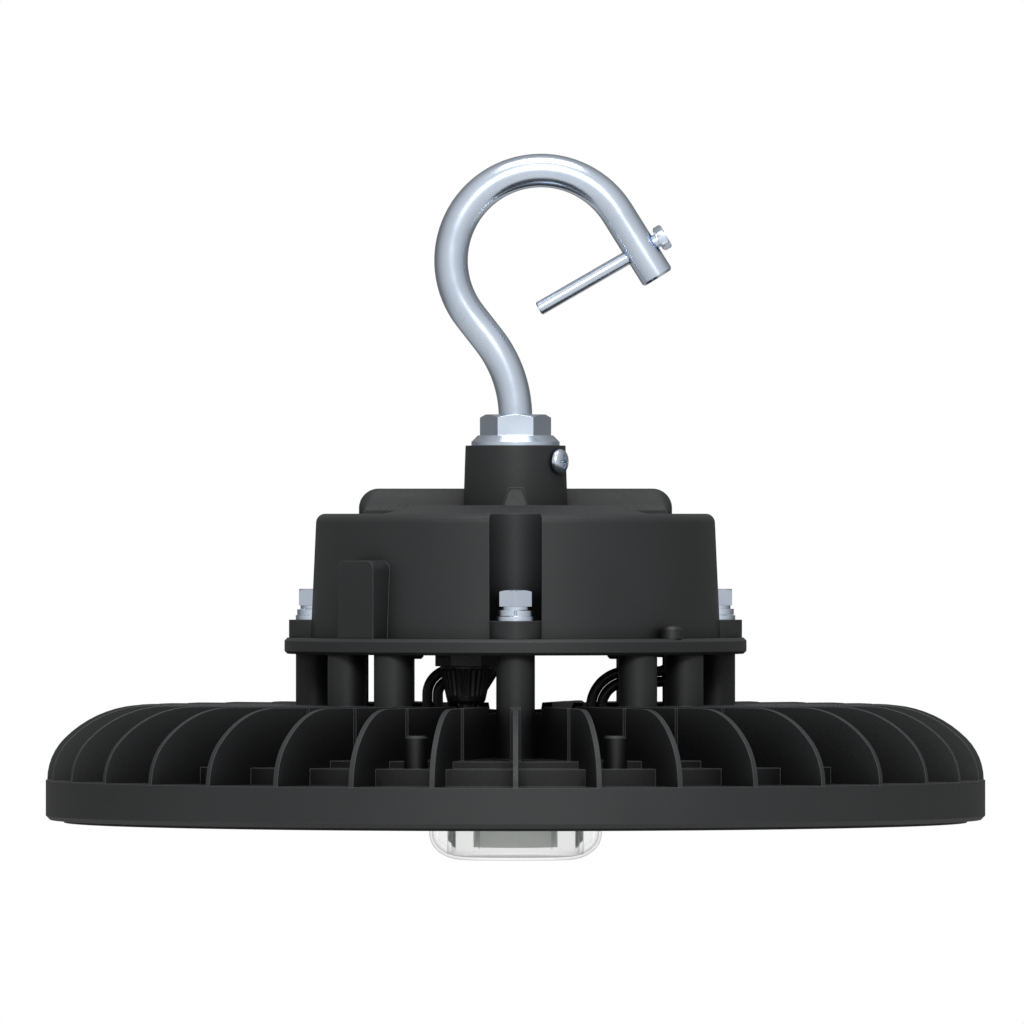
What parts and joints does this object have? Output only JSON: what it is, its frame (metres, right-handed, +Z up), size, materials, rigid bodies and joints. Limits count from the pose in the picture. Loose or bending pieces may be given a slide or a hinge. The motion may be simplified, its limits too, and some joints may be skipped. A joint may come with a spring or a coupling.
{
  "type": "high bay light",
  "caption": "Round LED high bay light with a finned heatsink, a driver housing on posts, a hook with a gate screw and a clear sensor dome below.",
  "frame": {"origin": "on the light's axis, at the bottom of the sensor dome", "axes": "+Z up along the light's axis, front towards -Y, the hook bent in the XZ plane"},
  "size_m": [0.335, 0.335, 0.2518],
  "materials": {
    "powder_coat": "fine-textured charcoal powder coat",
    "zinc_plate": "bright zinc plate, bluish",
    "black_plastic": "moulded nylon, satin",
    "rubber": "moulded rubber",
    "cable_jacket": "smooth dark jacket",
    "clear_plastic": "clear moulded polycarbonate",
    "grey_plastic": "translucent grey moulding",
    "circuit_board": "white solder mask",
    "green_board": "green solder mask",
    "phosphor": "yellow phosphor over white package",
    "component_black": "moulded component cases",
    "copper": "enamelled copper winding",
    "silicone": "translucent white silicone"
  },
  "bodies": {
    "root": {"hook_rod": "zinc_plate", "gate_screw": "zinc_plate", "hook_adapter": "zinc_plate", "hook_washer": "zinc_plate", "hook_nut": "zinc_plate", "neck_lock_screw": "zinc_plate", "driver_housing": "powder_coat", "driver_base": "powder_coat", "driver_gasket": "silicone", "driver_board": "green_board", "board_screws": "zinc_plate", "transformer": "component_black", "capacitors": "component_black", "inductor": "copper", "terminal_block": "component_black", "vent_plug": "black_plastic", "mounting_screws": "zinc_plate", "flat_washers": "zinc_plate", "spring_washers": "zinc_plate", "base_screws": "zinc_plate", "gland_body": "black_plastic", "gland_cap": "black_plastic", "gland_nut": "black_plastic", "sensor_lead": "cable_jacket", "led_lead_outer": "cable_jacket", "led_lead_inner": "cable_jacket", "left_lead_outer": "cable_jacket", "left_lead_middle": "cable_jacket", "left_lead_inner": "cable_jacket", "plate_grommets": "rubber", "base_grommets": "rubber", "heatsink": "powder_coat", "led_board": "circuit_board", "led_chips": "phosphor", "led_board_screws": "zinc_plate", "lens_plate": "clear_plastic", "lens_gasket": "silicone", "lens_ring": "powder_coat", "lens_screws": "zinc_plate", "sensor_cover": "clear_plastic", "sensor_body": "grey_plastic", "sensor_board": "circuit_board", "sensor_module": "grey_plastic", "sensor_gasket": "silicone", "sensor_screws": "zinc_plate"}
  },
  "joints": []
}
